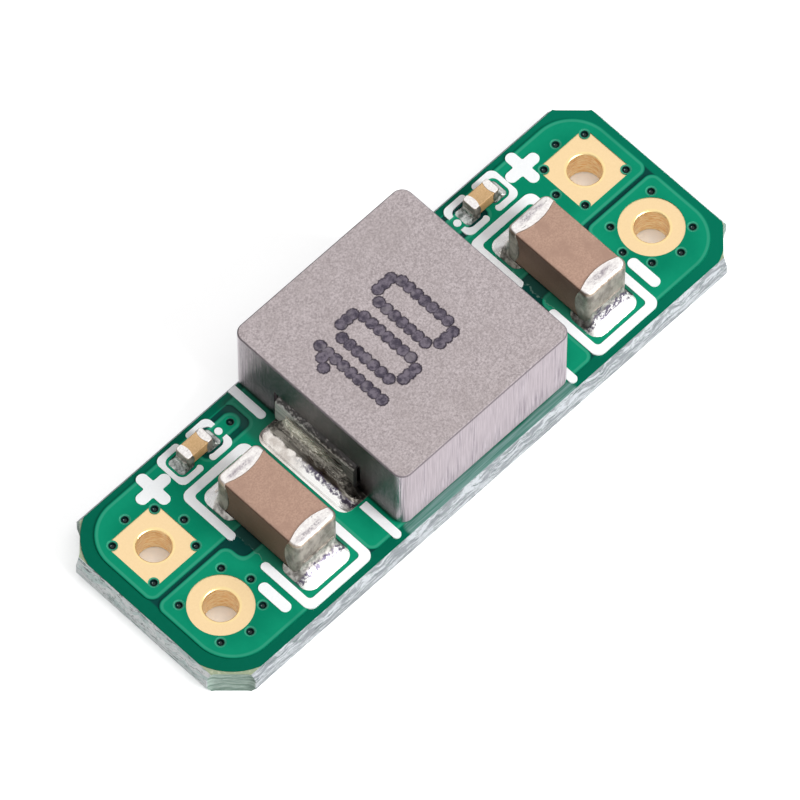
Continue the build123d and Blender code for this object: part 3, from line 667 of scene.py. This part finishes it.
# Plated ends: tin over nickel, dipped and barrel-plated, so they are white and softly pitted, with grey
# scuffs where the chips rubbed together.
scuff_x, scuff_y = 5.65, -0.63
end_nodes = [name for name in nodes if "_end_" in name]
tree, shader, places = new_finish("plated_tin", end_nodes, 0.42, metallic=0.85)
x, y, _ = xyz(tree, places)
pits = grain(tree, places, (0.06, 0.06, 0.06), 3.0)
scuffs = grain(tree, places, (0.30, 0.13, 0.3), 4.0)
runs = grain(tree, places, (0.28, 0.28, 0.5), 4.0)
to_z = facing(tree)[2]
tin = blend(tree, between(tree, pits, 0.3, 0.7), (0.82, 0.775, 0.76), (1.0, 0.97, 0.94))
tin = blend(tree, between(tree, scuffs, 0.60, 0.72), tin, (0.42, 0.39, 0.38))
from_middle = calc(tree, "ABSOLUTE", calc(tree, "SUBTRACT", calc(tree, "ABSOLUTE", x), scuff_x))
from_centre = calc(tree, "ABSOLUTE", calc(tree, "SUBTRACT", y, scuff_y))
halo = band(tree, from_centre, 1.29, 1.43, 0.07)
halo = times(tree, halo, between(tree, from_middle, 0.62, 0.30))
halo = times(tree, halo, between(tree, scuffs, 0.36, 0.72))
tin = blend(tree, halo, tin, (0.50, 0.45, 0.47))
rubbed = band(tree, from_centre, 1.32, 1.38, 0.05)
rubbed = times(tree, rubbed, between(tree, from_middle, 0.50, 0.30))
rubbed = times(tree, rubbed, between(tree, pits, 0.44, 0.60))
tin = blend(tree, times(tree, rubbed, 0.7), tin, (0.26, 0.22, 0.26))
walls = blend(tree, between(tree, runs, 0.36, 0.64), (0.225, 0.195, 0.17), (0.47, 0.42, 0.375))
worn_edge = times(tree, band(tree, to_z, 0.45, 0.60, 0.1), 0.6)
walls = blend(tree, worn_edge, walls, (0.33, 0.24, 0.16))
tree.links.new(blend(tree, between(tree, to_z, 0.75, 0.95), walls, tin), shader.inputs["Base Color"])
relief(tree, shader, pits, 0.012)

# Table and lights: a white sheet under the module, a broad lamp in front, another overhead and an even room.
# The camera looks down on the input end from the corner, from far off through a long lens.
reach, sheet_level = 2.0, -5e-6
room_light, sheet_light = 0.05, 0.6
board_half, outline_radius = (10.0, 3.35), 1.0


def seen_directly(tree):
    """1 for rays from the eye, a reflection or a clear piece, and 0 for rays that only carry light."""
    rays = put(tree, "ShaderNodeLightPath").outputs
    seen = calc(tree, "MAXIMUM", rays["Is Camera Ray"], rays["Is Glossy Ray"])
    return calc(tree, "MAXIMUM", seen, rays["Is Transmission Ray"])


floor_mesh = bpy.data.meshes.new("table_sheet")
corners = ((-reach, -reach), (reach, -reach), (reach, reach), (-reach, reach))
floor_mesh.from_pydata([(*corner, sheet_level) for corner in corners], [], [(0, 1, 2, 3)])
floor = bpy.data.objects.new("table_sheet", floor_mesh)
bpy.context.scene.collection.objects.link(floor)
paper = bpy.data.materials.new("white_sheet")
paper.use_nodes = True
tree = paper.node_tree
tree.nodes.clear()
from_board = rectangle(tree, in_millimetres(tree), (0.0, 0.0), board_half, outline_radius)
# Painted shade: the sheet's own glow drops to a fifth under the board.
sheet_glow_shaded_under_board = calc(tree, "MAXIMUM", between(tree, from_board, -0.6, -0.3), 0.2)
seen = times(tree, seen_directly(tree), sheet_glow_shaded_under_board)
diffuse = put(tree, "ShaderNodeBsdfDiffuse", {"Color": (0.80, 0.80, 0.80, 1.0)}).outputs[0]
glow = put(tree, "ShaderNodeEmission", {"Strength": times(tree, seen, sheet_light)}).outputs[0]
both = put(tree, "ShaderNodeAddShader", {0: diffuse, 1: glow}).outputs[0]
put(tree, "ShaderNodeOutputMaterial", {"Surface": both})
floor_mesh.materials.append(paper)

world = bpy.data.worlds.new("even_room")
bpy.context.scene.world = world
world.use_nodes = True
tree = world.node_tree
strength = calc(tree, "ADD", room_light, times(tree, seen_directly(tree), 1.0 - room_light))
background = tree.nodes["Background"]
background.inputs["Color"].default_value = (1.0, 1.0, 1.0, 1.0)
tree.links.new(strength, background.inputs["Strength"])


def lamp(name, direction, distance, size, power):
    """A square lamp that shines on the module from a direction."""
    data = bpy.data.lights.new(name, "AREA")
    data.size = size
    data.energy = power
    made = bpy.data.objects.new(name, data)
    bpy.context.scene.collection.objects.link(made)
    way = Vector(direction).normalized()
    made.location = way * distance
    made.rotation_euler = (-way).to_track_quat("-Z", "Y").to_euler()
    return made


lamp("front_lamp", (0.20, -0.80, 0.55), distance=0.30, size=0.16, power=0.87)
overhead = lamp("overhead_lamp", (0.05, -0.10, 1.0), distance=0.30, size=0.30, power=0.52)
overhead.visible_glossy = False

azimuth, elevation = math.radians(-45.015), math.radians(61.138)
aim_height, camera_distance = 1.05, 309.75
shift_right, shift_up = -0.1311, -0.4195
toward = Vector((math.sin(azimuth), -math.cos(azimuth), 0.0))
back = toward * math.cos(elevation) + Vector((0.0, 0.0, math.sin(elevation)))
right = Vector((math.cos(azimuth), math.sin(azimuth), 0.0))
up = back.cross(right)
camera_data = bpy.data.cameras.new("camera")
camera_data.lens = 505.6
camera_data.sensor_width = 36.0
camera_data.clip_start = 0.05
camera_data.clip_end = 10.0
camera = bpy.data.objects.new("camera", camera_data)
bpy.context.scene.collection.objects.link(camera)
aim = Vector((0.0, 0.0, aim_height)) + right * shift_right + up * shift_up
camera.location = (aim + back * camera_distance) * MM
camera.rotation_euler = (-back).to_track_quat("-Z", "Y").to_euler()
bpy.context.scene.camera = camera

bpy.context.scene.view_settings.view_transform = "Standard"
